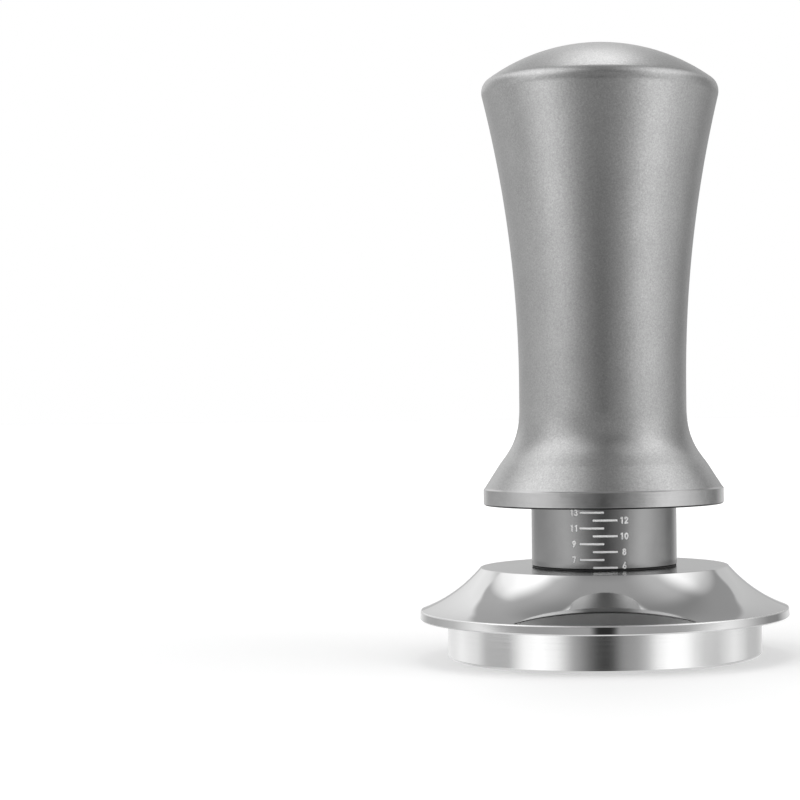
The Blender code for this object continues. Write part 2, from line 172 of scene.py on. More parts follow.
# ---------------------------------------------------------------- materials
def blasted_aluminium():
    """Glass-bead blasted, then anodised grey: a fine pebbled grain whose colour speckle is partly the metal's own
    random tone and partly painted glints of small bright facets.
    """
    s = Shader("blasted_aluminium", Metallic=1.0, Roughness=0.33)
    grain = s.math("ADD", s.math("MULTIPLY", s.noise(8200.0, 2.0, 0.6), 0.45), s.math("MULTIPLY", s.noise(3600.0, 2.0, 0.6), 0.55))
    mottle = s.noise(140.0, 3.0, 0.5)
    grain_and_painted_glint = s.math("ADD", s.math("MULTIPLY", grain, 0.85), s.math("MULTIPLY", mottle, 0.15))
    # colour speckle from the grain: random tone, with the brightest specks painted glints
    grey = s.colour(grain_and_painted_glint, [(0.32, 0.285), (0.5, 0.368), (0.68, 0.475)])
    # painted light: above the shoulder the dome's colour is lifted by up to 27%, standing in for the overhead light
    # that falls on it, and its roughness is raised
    split = s.node("SeparateXYZ")
    s.link(s.coords.outputs["Object"], split.inputs[0])
    dome_painted_light = s.node("Mix", data_type="RGBA", blend_type="MULTIPLY")
    dome_painted_light.inputs[0].default_value = 1.0
    s.link(grey, dome_painted_light.inputs[6])
    dome_light_tint = s.node("CombineColor")
    # painted light on the dome: the colour scale rises from 1.0 to 1.27 over the shoulder
    lift = s.span(split.outputs[2], 0.0925, 0.0945, 1.0, 1.27)
    for socket in dome_light_tint.inputs:
        s.link(lift, socket)
    s.link(dome_light_tint.outputs[0], dome_painted_light.inputs[7])
    s.to(dome_painted_light.outputs[2], "Base Color")
    blur = s.span(split.outputs[2], 0.0925, 0.0945, 0.0, 0.07)
    s.to(s.math("ADD", s.span(grain_and_painted_glint, 0.3, 0.7, 0.36, 0.29), blur), "Roughness")
    s.to(s.bump(grain, 0.00003, 0.7), "Normal")
    return s.material


def satin_sleeve():
    """Fine-turned and satin-finished grey tube: rings too fine to see one by one, with a slight haze."""
    s = Shader("satin_sleeve", Metallic=1.0, Roughness=0.27, Anisotropic=0.45)
    s.turned_tangent()
    radius, angle, z = s.polar()
    rings = s.noise(1.0, 2.0, 0.6)
    node = rings.node
    s.link(s.vector(s.math("MULTIPLY", angle, 0.4), 0.0, s.math("MULTIPLY", z, 14000.0)), node.inputs["Vector"])
    haze = s.noise(420.0, 4.0, 0.6)
    fine = s.noise(7000.0, 2.0, 0.5)
    s.to(s.colour(haze, [(0.3, 0.252), (0.7, 0.268)]), "Base Color")
    s.to(s.span(s.math("ADD", s.math("MULTIPLY", haze, 0.5), s.math("MULTIPLY", fine, 0.5)), 0.3, 0.7, 0.19, 0.23), "Roughness")
    s.to(s.bump(s.math("ADD", s.math("MULTIPLY", rings, 0.7), s.math("MULTIPLY", fine, 0.3)), 0.000006, 0.2), "Normal")
    return s.material


def machined_land():
    """The band cut on the handle's rim after blasting: satin, with rings from the tool."""
    s = Shader("machined_land", Metallic=1.0, Roughness=0.28, Anisotropic=0.4)
    s.turned_tangent()
    radius, angle, z = s.polar()
    rings = s.noise(1.0, 2.0, 0.6)
    s.link(s.vector(s.math("MULTIPLY", angle, 0.5), radius, s.math("MULTIPLY", z, 11000.0)), rings.node.inputs["Vector"])
    haze = s.noise(500.0, 3.0, 0.6)
    s.to(s.colour(haze, [(0.3, 0.40), (0.7, 0.44)]), "Base Color")
    s.to(s.span(haze, 0.3, 0.7, 0.16, 0.21), "Roughness")
    s.to(s.bump(rings, 0.000012, 0.3), "Normal")
    return s.material


def polished_steel():
    """Mirror-polished stainless steel: faint buffing lines and a trace of haze."""
    s = Shader("polished_steel", Metallic=1.0, Roughness=0.045)
    haze = s.noise(70.0, 4.0, 0.6)
    lines = s.noise(900.0, 3.0, 0.7, stretch=(1.0, 1.0, 3.5), distortion=0.4)
    s.to(s.colour(haze, [(0.3, (0.585, 0.585, 0.585)), (0.7, (0.615, 0.615, 0.615))]), "Base Color")
    s.to(s.span(s.math("MULTIPLY", haze, lines), 0.1, 0.45, 0.03, 0.075), "Roughness")
    s.to(s.bump(lines, 0.000002, 0.25), "Normal")
    return s.material


def faced_steel():
    """The brim's flat top: polished like the flare, with a slight bloom left by the facing tool."""
    s = Shader("faced_steel", Metallic=1.0, Roughness=0.17)
    radius, angle, z = s.polar()
    rings = s.noise(1.0, 2.0, 0.6)
    s.link(s.vector(s.math("MULTIPLY", angle, 0.4), s.math("MULTIPLY", radius, 6000.0), 0.0), rings.node.inputs["Vector"])
    haze = s.noise(80.0, 4.0, 0.6)
    s.to(s.colour(haze, [(0.3, 0.575), (0.7, 0.605)]), "Base Color")
    s.to(s.span(haze, 0.3, 0.7, 0.15, 0.19), "Roughness")
    s.to(s.bump(rings, 0.000002, 0.25), "Normal")
    return s.material


def turned_steel():
    """Fine-turned stainless steel: the tool's rings run round the side and across the flat face."""
    s = Shader("turned_steel", Metallic=1.0, Roughness=0.12, Anisotropic=0.4)
    s.turned_tangent()
    radius, angle, z = s.polar()
    rings = s.noise(1.0, 3.0, 0.6)
    s.link(
        s.vector(s.math("MULTIPLY", angle, 0.35), s.math("MULTIPLY", radius, 5200.0), s.math("MULTIPLY", z, 9000.0)),
        rings.node.inputs["Vector"],
    )
    haze = s.noise(90.0, 4.0, 0.6)
    s.to(s.colour(haze, [(0.3, 0.60), (0.7, 0.64)]), "Base Color")
    s.to(s.span(s.math("ADD", s.math("MULTIPLY", rings, 0.6), s.math("MULTIPLY", haze, 0.4)), 0.3, 0.7, 0.09, 0.15), "Roughness")
    s.to(s.bump(rings, 0.000004, 0.3), "Normal")
    return s.material


def mark_paint():
    """Pale enamel wiped into the engraved marks: matt, slightly uneven."""
    s = Shader("mark_paint", Roughness=0.55)
    patch = s.noise(1500.0, 4.0, 0.6)
    s.to(s.colour(patch, [(0.3, 0.90), (0.7, 0.96)]), "Base Color")
    s.to(s.bump(s.noise(9000.0, 3.0), 0.00001, 0.3), "Normal")
    return s.material


def plain_metal(name, dark, light, rough_low, rough_high, scale=600.0, grain=4000.0, bump=0.00001):
    s = Shader(name, Metallic=1.0)
    patch = s.noise(scale, 4.0, 0.6)
    fine = s.noise(grain, 3.0, 0.6)
    s.to(s.colour(patch, [(0.3, dark), (0.7, light)]), "Base Color")
    s.to(s.span(s.math("ADD", s.math("MULTIPLY", patch, 0.5), s.math("MULTIPLY", fine, 0.5)), 0.3, 0.7, rough_low, rough_high), "Roughness")
    s.to(s.bump(fine, bump, 0.35), "Normal")
    return s.material


def moulded(name, dark, light, rough_low, rough_high, scale=500.0, grain=3500.0, bump=0.00002, **values):
    s = Shader(name, **values)
    patch = s.noise(scale, 4.0, 0.6)
    fine = s.noise(grain, 3.0, 0.6)
    s.to(s.colour(patch, [(0.3, dark), (0.7, light)]), "Base Color")
    s.to(s.span(fine, 0.3, 0.7, rough_low, rough_high), "Roughness")
    s.to(s.bump(fine, bump, 0.4), "Normal")
    return s.material


BLASTED = blasted_aluminium()
SATIN = satin_sleeve()
LAND = machined_land()
MIRROR = polished_steel()
TURNED = turned_steel()
PAINT = mark_paint()
BROKEN_EDGE = plain_metal("broken_edge", (0.66, 0.66, 0.66), (0.72, 0.72, 0.72), 0.3, 0.38)
FACED = faced_steel()
# the handle's faced underside: machined aluminium, with its near-white colour raised as painted light for the shaded
# underside that the brim mirrors
UNDERSIDE_PAINTED_LIGHT = plain_metal("faced_aluminium_painted_light", (0.82, 0.82, 0.82), (0.88, 0.88, 0.88), 0.46, 0.56)
# painted shadow: the chamfer under the handle's rim is coloured near black to stand in for the shadow line between
# handle and sleeve
PAINTED_SHADOW_EDGE = plain_metal("painted_shadow_edge", (0.025, 0.025, 0.025), (0.04, 0.04, 0.04), 0.4, 0.5)
GROUND = plain_metal("ground_steel", (0.47, 0.47, 0.47), (0.55, 0.55, 0.55), 0.2, 0.3)
ZINC = plain_metal("zinc_steel", (0.50, 0.52, 0.54), (0.60, 0.61, 0.61), 0.28, 0.42)
OXIDE = plain_metal("black_steel", (0.02, 0.02, 0.022), (0.045, 0.045, 0.05), 0.3, 0.45)
WIRE = plain_metal("spring_steel", (0.27, 0.265, 0.26), (0.38, 0.37, 0.36), 0.24, 0.38)
BRASS = plain_metal("turned_brass", (0.55, 0.39, 0.16), (0.66, 0.49, 0.23), 0.2, 0.32)
ACETAL = moulded("white_acetal", (0.72, 0.71, 0.67), (0.80, 0.79, 0.75), 0.35, 0.5)
ACETAL_BLACK = moulded("black_acetal", (0.02, 0.02, 0.02), (0.035, 0.035, 0.035), 0.35, 0.5)
RUBBER_GREY = moulded("grey_rubber", (0.014, 0.014, 0.014), (0.022, 0.022, 0.022), 0.5, 0.65, bump=0.00002)
RUBBER = moulded("black_rubber", (0.012, 0.012, 0.012), (0.025, 0.025, 0.025), 0.6, 0.8, bump=0.00004)

SLOT_MATERIALS = {
    "blasted_aluminium": BLASTED,
    "satin_sleeve": SATIN,
    "polished_steel": MIRROR,
    "turned_steel": TURNED,
    "ground_steel": GROUND,
    "zinc_steel": ZINC,
    "black_steel": OXIDE,
    "spring_steel": WIRE,
    "turned_brass": BRASS,
    "white_acetal": ACETAL,
    "black_acetal": ACETAL_BLACK,
    "black_rubber": RUBBER,
}
for entry in frame["record"]["subparts"]:
    node = frame["nodes"][entry["node"]]
    node.data.materials.clear()
    node.data.materials.append(SLOT_MATERIALS[entry["material_slot"]])


# ---------------------------------------------------------------- mesh helpers
def normal_of(a, b):
    """Outward normal of a profile step from a to b, where the profile runs down the outer side."""
    dr, dz = b[0] - a[0], b[1] - a[1]
    length = math.hypot(dr, dz) or 1.0
    return (-dz / length, dr / length)


def eased(corners, closed, step_deg=9.0):
    """Rounds a profile. corners is a list of (r, z) or (r, z, rounding). Returns [(r, z, normal r, normal z)]."""
    corners = [c if len(c) == 3 else (*c, 0.0) for c in corners]
    count = len(corners)
    points = []
    for i, (r, z, rounding) in enumerate(corners):
        before = corners[i - 1] if closed or i else None
        after = corners[(i + 1) % count] if closed or i < count - 1 else None
        if before is None:
            points.append((r, z, *normal_of((r, z), after)))
            continue
        if after is None:
            points.append((r, z, *normal_of(before, (r, z))))
            continue
        n1, n2 = normal_of(before, (r, z)), normal_of((r, z), after)
        l1, l2 = math.hypot(r - before[0], z - before[1]), math.hypot(after[0] - r, after[1] - z)
        turn = math.atan2(n1[0] * n2[1] - n1[1] * n2[0], n1[0] * n2[0] + n1[1] * n2[1])
        if rounding <= 0 or abs(turn) < 1e-4:
            n = (n1[0] * l1 + n2[0] * l2, n1[1] * l1 + n2[1] * l2)
            length = math.hypot(*n) or 1.0
            points.append((r, z, n[0] / length, n[1] / length))
            continue
        reach = min(rounding * math.tan(abs(turn) / 2), 0.46 * l1, 0.46 * l2)
        radius = reach / math.tan(abs(turn) / 2)
        start = (r - (r - before[0]) / l1 * reach, z - (z - before[1]) / l1 * reach)
        side = 1.0 if turn < 0 else -1.0
        centre = (start[0] - n1[0] * radius * side, start[1] - n1[1] * radius * side)
        steps = max(2, int(math.ceil(abs(math.degrees(turn)) / step_deg)))
        for k in range(steps + 1):
            a = turn * k / steps
            n = (n1[0] * math.cos(a) - n1[1] * math.sin(a), n1[0] * math.sin(a) + n1[1] * math.cos(a))
            points.append((centre[0] + n[0] * radius * side, centre[1] + n[1] * radius * side, *n))
    return points


def arc_points(centre, radius, start_deg, end_deg, steps):
    return [
        (centre[0] + radius * math.cos(a), centre[1] + radius * math.sin(a))
        for a in (math.radians(start_deg + (end_deg - start_deg) * i / steps) for i in range(steps + 1))
    ]


def new_object(name, mesh, *materials):
    obj = bpy.data.objects.new(name, mesh)
    bpy.context.scene.collection.objects.link(obj)
    for material in materials:
        mesh.materials.append(material)
    return obj


def lathe(name, profile, materials, closed=False, segments=256, angles=None, sink=None, slot_of=None, own_normals=True):
    """Turns a profile of (r, z, normal r, normal z) in mm about Z into a closed mesh.

    angles replaces the even spacing. sink(i, j) moves a point towards the axis, in mm.
    slot_of(r, z) gives a face's material slot.
    """
    if angles is None:
        angles = [math.tau * j / segments for j in range(segments)]
    turns = len(angles)
    cos, sin = np.cos(angles), np.sin(angles)
    verts, normals, rows = [], [], []
    for i, (r, z, nr, nz) in enumerate(profile):
        if r < 1e-6:
            rows.append([len(verts)])
            verts.append((0.0, 0.0, z * MM))
            normals.append((0.0, 0.0, 1.0 if nz > 0 else -1.0))
            continue
        rows.append(list(range(len(verts), len(verts) + turns)))
        for j in range(turns):
            rr = r - (sink(i, j) if sink else 0.0)
            verts.append((rr * cos[j] * MM, rr * sin[j] * MM, z * MM))
            normals.append((nr * cos[j], nr * sin[j], nz))
    faces, slots = [], []
    pairs = list(zip(range(len(rows) - 1), range(1, len(rows))))
    if closed:
        pairs.append((len(rows) - 1, 0))
    for a, b in pairs:
        upper, lower = rows[a], rows[b]
        r, z = (profile[a][0] + profile[b][0]) / 2, (profile[a][1] + profile[b][1]) / 2
        slot = slot_of(r, z) if slot_of else 0
        for j in range(turns):
            k = (j + 1) % turns
            if len(upper) == 1 and len(lower) == 1:
                break
            if len(upper) == 1:
                faces.append((upper[0], lower[j], lower[k]))
            elif len(lower) == 1:
                faces.append((upper[j], lower[0], upper[k]))
            else:
                faces.append((upper[j], lower[j], lower[k], upper[k]))
            slots.append(slot)
    mesh = bpy.data.meshes.new(name)
    mesh.from_pydata(verts, [], faces)
    mesh.update()
    mesh.polygons.foreach_set("use_smooth", [True] * len(mesh.polygons))
    if slot_of:
        mesh.polygons.foreach_set("material_index", slots)
    if own_normals:
        mesh.normals_split_custom_set_from_vertices(normals)
    return new_object(name, mesh, *materials)


def tube(name, path, radius, material, sides=20):
    """A round wire along a list of points in mm, with flat capped ends."""
    path = np.array(path, float)
    count = len(path)
    tangent = np.gradient(path, axis=0)
    tangent /= np.linalg.norm(tangent, axis=1)[:, None]
    verts, faces = [], []
    up = np.array([0.0, 0.0, 1.0])
    for i in range(count):
        side = np.cross(tangent[i], up)
        side /= np.linalg.norm(side)
        over = np.cross(side, tangent[i])
        for k in range(sides):
            a = math.tau * k / sides
            verts.append(tuple((path[i] + radius * (math.cos(a) * side + math.sin(a) * over)) * MM))
    for i in range(count - 1):
        for k in range(sides):
            n = (k + 1) % sides
            faces.append((i * sides + k, i * sides + n, (i + 1) * sides + n, (i + 1) * sides + k))
    faces.append(tuple(range(sides - 1, -1, -1)))
    faces.append(tuple((count - 1) * sides + k for k in range(sides)))
    mesh = bpy.data.meshes.new(name)
    mesh.from_pydata(verts, [], faces)
    mesh.update()
    mesh.polygons.foreach_set("use_smooth", [True] * (len(mesh.polygons) - 2) + [False, False])
    obj = new_object(name, mesh, material)
    return obj


# ---------------------------------------------------------------- handle
HANDLE_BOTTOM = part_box("handle_shell")[0].z / MM
TOTAL_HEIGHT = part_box("handle_shell")[1].z / MM
RIM_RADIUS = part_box("handle_shell")[1].x / MM
RIM_TOP = 27.45
WAIST_RADIUS, WAIST_Z, SIDE_ARC = 13.71, 44.3, 199.0
WIDEST_Z, DOME_RADIUS, DOME_EDGE, SHOULDER_PULL = 91.4, 31.3, 18.6, 0.6
FLARE_TOP, FLARE_PULL, CONE_R, CONE_Z, CONE_PULL = 40.5, 35.0, 17.05, 31.2, 2.18


def side_radius(z):
    t = z - WAIST_Z
    return WAIST_RADIUS + SIDE_ARC - math.sqrt(SIDE_ARC**2 - t * t)


def handle_profile():
    centre = TOTAL_HEIGHT - DOME_RADIUS
    edge = math.degrees(math.acos(DOME_EDGE / DOME_RADIUS))
    outline = arc_points((0.0, centre), DOME_RADIUS, 90.0, edge, 40)
    outline[0] = (0.0, TOTAL_HEIGHT)
    r0, z0 = outline[-1]
    r2, z2 = side_radius(WIDEST_Z), WIDEST_Z
    dome_slope = -r0 / (z0 - centre)
    side_slope = (side_radius(z2 + 0.01) - r2) / 0.01
    z1 = (z0 + dome_slope * (r2 - side_slope * z2 - r0)) / (1 - dome_slope * side_slope)
    r1 = r2 + side_slope * (z1 - z2)
    near = (r0 + (r1 - r0) * SHOULDER_PULL, z0 + (z1 - z0) * SHOULDER_PULL)
    far = (r2 + (r1 - r2) * SHOULDER_PULL, z2 + (z1 - z2) * SHOULDER_PULL)
    for i in range(1, 24):
        t = i / 24
        w = ((1 - t) ** 3, 3 * t * (1 - t) ** 2, 3 * t * t * (1 - t), t**3)
        outline.append(tuple(sum(a * h[k] for a, h in zip(w, ((r0, z0), near, far, (r2, z2)))) for k in (0, 1)))
    for i in range(70):
        z = z2 + (FLARE_TOP - z2) * i / 70
        outline.append((side_radius(max(z, WAIST_Z)), z))
    foot = (RIM_RADIUS - 0.25, RIM_TOP)
    cone = (foot[0] - CONE_R, CONE_Z - foot[1])
    length = math.hypot(*cone)
    handles = [
        (WAIST_RADIUS, FLARE_TOP),
        (WAIST_RADIUS, FLARE_PULL),
        (CONE_R - CONE_PULL * (cone[0] / length + 0.06), CONE_Z + CONE_PULL * cone[1] / length),
        (CONE_R, CONE_Z),
    ]
    for i in range(31):
        t = i / 30
        w = ((1 - t) ** 3, 3 * t * (1 - t) ** 2, 3 * t * t * (1 - t), t**3)
        outline.append(tuple(sum(a * h[k] for a, h in zip(w, handles)) for k in (0, 1)))
    for i in range(1, 6):
        t = i / 6
        outline.append((CONE_R + (foot[0] - CONE_R) * t, CONE_Z + (foot[1] - CONE_Z) * t))
    outline += [
        (foot[0], foot[1], 0.06),
        (RIM_RADIUS, RIM_TOP - 0.25, 0.06),
        (RIM_RADIUS, HANDLE_BOTTOM + 0.25, 0.08),
        (RIM_RADIUS - 0.25, HANDLE_BOTTOM, 0.08),
        (13.5, HANDLE_BOTTOM, 0.12),
        (13.5, HANDLE_BOTTOM + 0.5, 0.04),
        (14.3, HANDLE_BOTTOM + 0.5, 0.04),
        (14.3, HANDLE_BOTTOM + 1.6, 0.04),
        (13.5, HANDLE_BOTTOM + 1.6, 0.04),
        (13.5, 31.0, 0.1),
        (12.2, 31.0, 0.1),
        (12.2, 45.7, 0.1),
        (11.6, 45.7, 0.1),
        (11.6, 51.3, 0.1),
        (10.4, 51.3, 0.1),
        (10.4, 86.3, 0.3),
        (0.0, 88.6),
    ]
    return eased(outline, closed=False)


profile = handle_profile()
# slots: 1 the machined land, 2 the faced underside with painted light, 3 the rim's lower chamfer as a painted shadow
# line
handle = lathe(
    "handle_shell_fine", profile, [BLASTED, LAND, UNDERSIDE_PAINTED_LIGHT, PAINTED_SHADOW_EDGE], segments=320,
    slot_of=lambda r, z: 1 if HANDLE_BOTTOM + 0.24 < z < RIM_TOP + 0.02 and r > RIM_RADIUS - 0.3
    else 2 if z < HANDLE_BOTTOM + 0.02 and 13.6 < r < RIM_RADIUS - 0.33
    else 3 if z < HANDLE_BOTTOM + 0.24 and r > RIM_RADIUS - 0.33 else 0,
)
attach(handle, "handle")
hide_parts("handle_shell")


# ---------------------------------------------------------------- scale marks as distances from strokes
DIGIT_STROKE = 0.245
LINE_STROKE = 0.31


def circle_path(cx, cy, rx, ry, start, end, steps=24):
    return [
        (cx + rx * math.cos(math.radians(start + (end - start) * i / steps)),
         cy + ry * math.sin(math.radians(start + (end - start) * i / steps)))
        for i in range(steps + 1)
    ]


# strokes of each numeral, about its centre, 1 mm tall
NUMERALS = {
    "0": (0.74, [circle_path(0, 0, 0.22, 0.43, 0, 360, 40)]),
    "1": (0.74, [[(0.06, -0.43), (0.06, 0.43), (-0.1, 0.33)]]),
    "2": (0.74, [circle_path(0, 0.215, 0.205, 0.215, 170, -38, 24) + [(-0.205, -0.43), (0.22, -0.43)]]),
    "3": (0.74, [circle_path(-0.015, 0.215, 0.195, 0.215, 150, -88, 24), circle_path(-0.015, -0.21, 0.22, 0.22, 88, -150, 24)]),
    "6": (0.74, [circle_path(0, -0.2, 0.22, 0.225, 0, 360, 36), [(-0.19, -0.09), (0.09, 0.44)]]),
    "7": (0.74, [[(-0.22, 0.43), (0.21, 0.43), (-0.085, -0.44)]]),
    "8": (0.74, [circle_path(0, 0.225, 0.175, 0.2, 0, 360, 32), circle_path(0, -0.2, 0.215, 0.23, 0, 360, 36)]),
    "9": (0.74, [circle_path(0, 0.2, 0.22, 0.225, 0, 360, 36), [(0.19, 0.09), (-0.09, -0.44)]]),
}

SLEEVE_LOW, SLEEVE_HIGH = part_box("scale_sleeve")[0] / MM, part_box("scale_sleeve")[1] / MM
SLEEVE_R = SLEEVE_HIGH.x
MARK_PITCH = 1.25
FIRST_MARK_Z = 15.03
# across the sleeve, as arc length to the right of the front line
ODD_LINE, EVEN_LINE = (-3.98, 0.0), (-1.80, 2.17)
ODD_TEXT, EVEN_TEXT = -4.94, 3.24


def marks():
    """[(points of a stroke, stroke width)] for the lines and numbers from 6 to 13."""
    strokes = []
    for number in range(6, 14):
        z = FIRST_MARK_Z + MARK_PITCH * (number - 6)
        low, high = ODD_LINE if number % 2 else EVEN_LINE
        half = LINE_STROKE / 2
        strokes.append(([(low + half, z), (high - half, z)], LINE_STROKE, 0.09))
        text = str(number)
        widths = [NUMERALS[c][0] for c in text]
        x = (ODD_TEXT if number % 2 else EVEN_TEXT) - sum(widths) / 2
        lift = 0.34 if number == 6 else 0.0
        for c, width in zip(text, widths):
            for path in NUMERALS[c][1]:
                strokes.append(([(x + width / 2 + px, z + lift + pz) for px, pz in path], DIGIT_STROKE, None))
            x += width
    return strokes


STROKES = marks()


def mark_distance(s, z):
    """Distance in mm from each point to the edge of the nearest stroke, negative inside it."""
    s, z = np.asarray(s, float), np.asarray(z, float)
    best = np.full(s.shape, 9.0)
    for path, width, corner in STROKES:
        if corner is not None:
            # a line with squared ends and small corner radii
            (x0, y0), (x1, _) = path
            half = width / 2
            dx = np.abs(s - (x0 + x1) / 2) - ((x1 - x0) / 2 + half - corner)
            dz = np.abs(z - y0) - (half - corner)
            d = np.hypot(np.maximum(dx, 0), np.maximum(dz, 0)) + np.minimum(np.maximum(dx, dz), 0) - corner
            best = np.minimum(best, d)
            continue
        for (x0, y0), (x1, y1) in zip(path, path[1:]):
            vx, vy = x1 - x0, y1 - y0
            length = vx * vx + vy * vy or 1e-9
            t = np.clip(((s - x0) * vx + (z - y0) * vy) / length, 0, 1)
            best = np.minimum(best, np.hypot(s - x0 - t * vx, z - y0 - t * vy) - width / 2)
    return best


# ---------------------------------------------------------------- scale sleeve, engraved
ENGRAVED = 0.05
fine_step = 0.045
s_fine = np.arange(-5.75, 4.05 + 1e-6, fine_step)
rest_span = math.tau * SLEEVE_R - (s_fine[-1] - s_fine[0])
rest_count = 110
s_all = np.concatenate([s_fine, s_fine[-1] + rest_span * np.arange(1, rest_count) / rest_count])
sleeve_angles = (-math.pi / 2 + s_all / SLEEVE_R).tolist()
z_top, z_bottom = SLEEVE_HIGH.z, SLEEVE_LOW.z
outer_rows = [z_top - 0.3, 33.0, 30.0, 27.0, 25.0]
z_fine = np.arange(24.6, z_bottom + 0.07, -fine_step)
corners = (
    [(SLEEVE_R - 0.12, z_top), (SLEEVE_R, z_top - 0.12)]
    + [(SLEEVE_R, z) for z in outer_rows[0:]]
    + [(SLEEVE_R, float(z)) for z in z_fine]
    + [
        (SLEEVE_R, z_bottom, 0.035),
        (10.2, z_bottom, 0.1),
        (10.2, z_top, 0.2),
    ]
)
sleeve_profile = eased(corners, closed=True, step_deg=15.0)
grid_s, grid_z = np.meshgrid(s_all, [p[1] for p in sleeve_profile])
depth = mark_distance(grid_s, grid_z)
depth = np.clip((0.02 - depth) / 0.06, 0, 1)
depth = ENGRAVED * depth * depth * (3 - 2 * depth)
outer = np.array([p[0] > SLEEVE_R - 0.01 for p in sleeve_profile])
depth[~outer, :] = 0.0
sleeve = lathe(
    "scale_sleeve_fine", sleeve_profile, [SATIN], closed=True, angles=sleeve_angles,
    sink=lambda i, j: depth[i, j], own_normals=False,
)
sleeve.data.set_sharp_from_angle(angle=math.radians(50))
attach(sleeve, "brim")
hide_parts("scale_sleeve")


def filled_marks(name, inner, outer_radius, edge, step):
    """Closed pads that fill the engraved marks, traced from the strokes' edges and wrapped on the sleeve."""
    s = np.arange(-6.0, 4.2, step)
    z = np.arange(FIRST_MARK_Z - 0.25, FIRST_MARK_Z + 7 * MARK_PITCH + 0.8, step)
    field = mark_distance(*np.meshgrid(s, z)) - edge
    verts, index, tops = [], {}, []

    def corner(i, k):
        key = ("c", i, k)
        if key not in index:
            index[key] = len(verts)
            verts.append((s[i], z[k]))
        return index[key]

    def crossing(i0, k0, i1, k1):
        key = ("e", *sorted([(i0, k0), (i1, k1)]))
        if key not in index:
            a, b = field[k0, i0], field[k1, i1]
            t = a / (a - b)
            index[key] = len(verts)
            verts.append((s[i0] + (s[i1] - s[i0]) * t, z[k0] + (z[k1] - z[k0]) * t))
        return index[key]

    inside = field < 0
    for k in range(len(z) - 1):
        for i in range(len(s) - 1):
            square = [(i, k), (i + 1, k), (i + 1, k + 1), (i, k + 1)]
            flags = [inside[q[1], q[0]] for q in square]
            if not any(flags):
                continue
            ring = []
            for n in range(4):
                a, b = square[n], square[(n + 1) % 4]
                if flags[n]:
                    ring.append(corner(*a))
                if flags[n] != flags[(n + 1) % 4]:
                    ring.append(crossing(*a, *b))
            if len(ring) > 2:
                tops.append(ring)
    count = len(verts)
    points = []
    for radius in (outer_radius, inner):
        for sx, zz in verts:
            a = -math.pi / 2 + sx / SLEEVE_R
            points.append((radius * math.cos(a) * MM, radius * math.sin(a) * MM, zz * MM))
    seen = {}
    for ring in tops:
        for a, b in zip(ring, ring[1:] + ring[:1]):
            seen[(a, b)] = seen.get((a, b), 0) + 1
    walls = [(b, a, a + count, b + count) for (a, b) in seen if (b, a) not in seen]
    faces = [tuple(r) for r in tops] + [tuple(v + count for v in reversed(r)) for r in tops] + walls
    mesh = bpy.data.meshes.new(name)
    mesh.from_pydata(points, [], faces)
    mesh.update()
    mesh.polygons.foreach_set("use_smooth", [True] * len(mesh.polygons))
    mesh.set_sharp_from_angle(angle=math.radians(40))
    return new_object(name, mesh, PAINT)


paint = filled_marks("scale_marks", SLEEVE_R - 0.075, SLEEVE_R + 0.008, 0.0, 0.03)
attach(paint, "brim")


# ---------------------------------------------------------------- levelling brim
BRIM_LOW, BRIM_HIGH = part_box("levelling_brim")[0] / MM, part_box("levelling_brim")[1] / MM
BRIM_R = BRIM_HIGH.x
BRIM_UNDER = BRIM_LOW.z
BRIM_TOP, BRIM_FLAT, BRIM_EDGE_Z, BRIM_EDGE_ROUND = 14.5, 20.3, 7.45, 0.3
RIM_DRAFT = 0.07
TOP_SLOPE, FOOT_SLOPE = 47.0, 19.0


def brim_flare(steps):
    foot = math.radians(FOOT_SLOPE)
    edge_r = BRIM_R - RIM_DRAFT - BRIM_EDGE_ROUND
    end = (edge_r + BRIM_EDGE_ROUND * math.sin(foot), BRIM_EDGE_Z + BRIM_EDGE_ROUND * math.cos(foot))
    raw = [(0.0, 0.0)]
    for i in range(steps):
        a = math.radians(TOP_SLOPE + (FOOT_SLOPE - TOP_SLOPE) * (i + 0.5) / steps)
        raw.append((raw[-1][0] + math.cos(a), raw[-1][1] - math.sin(a)))
    kr, kz = (end[0] - BRIM_FLAT) / raw[-1][0], (end[1] - BRIM_TOP) / raw[-1][1]
    points = [(BRIM_FLAT + r * kr, BRIM_TOP + z * kz) for r, z in raw]
    rounding = arc_points((edge_r, BRIM_EDGE_Z), BRIM_EDGE_ROUND, 90.0 - FOOT_SLOPE, 4.0, 14)
    return points, rounding[1:]


flare, rounding = brim_flare(64)
brim_profile = eased(
    [(9.6, BRIM_HIGH.z, 0.1), (9.9, BRIM_HIGH.z - 0.3, 0.1), (9.9, BRIM_TOP, 0.1)]
    + [(flare[0][0], flare[0][1], 0.16)]
    + flare[1:]
    + rounding
    + [
        (BRIM_R, BRIM_UNDER + 0.2, 0.05),
        (BRIM_R - 0.2, BRIM_UNDER, 0.05),
        (26.0, BRIM_UNDER, 0.12),
        (26.0, 7.9, 0.3),
        (20.6, 12.7, 0.5),
        (9.8, 12.7, 0.4),
        (9.8, 9.9, 0.2),
        (6.6, 9.9, 0.15),
        (6.6, BRIM_HIGH.z, 0.15),
    ],
    closed=True, step_deg=8.0,
)
brim = lathe(
    "levelling_brim_fine", brim_profile, [MIRROR, BROKEN_EDGE, FACED], closed=True, segments=400,
    slot_of=lambda r, z: 1 if r > BRIM_R - 0.34 and (BRIM_EDGE_Z + 0.07 < z or z < BRIM_UNDER + 0.18)
    else 2 if z > BRIM_TOP - 0.03 and r < BRIM_FLAT - 0.02 else 0,
)
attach(brim, "brim")
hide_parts("levelling_brim")

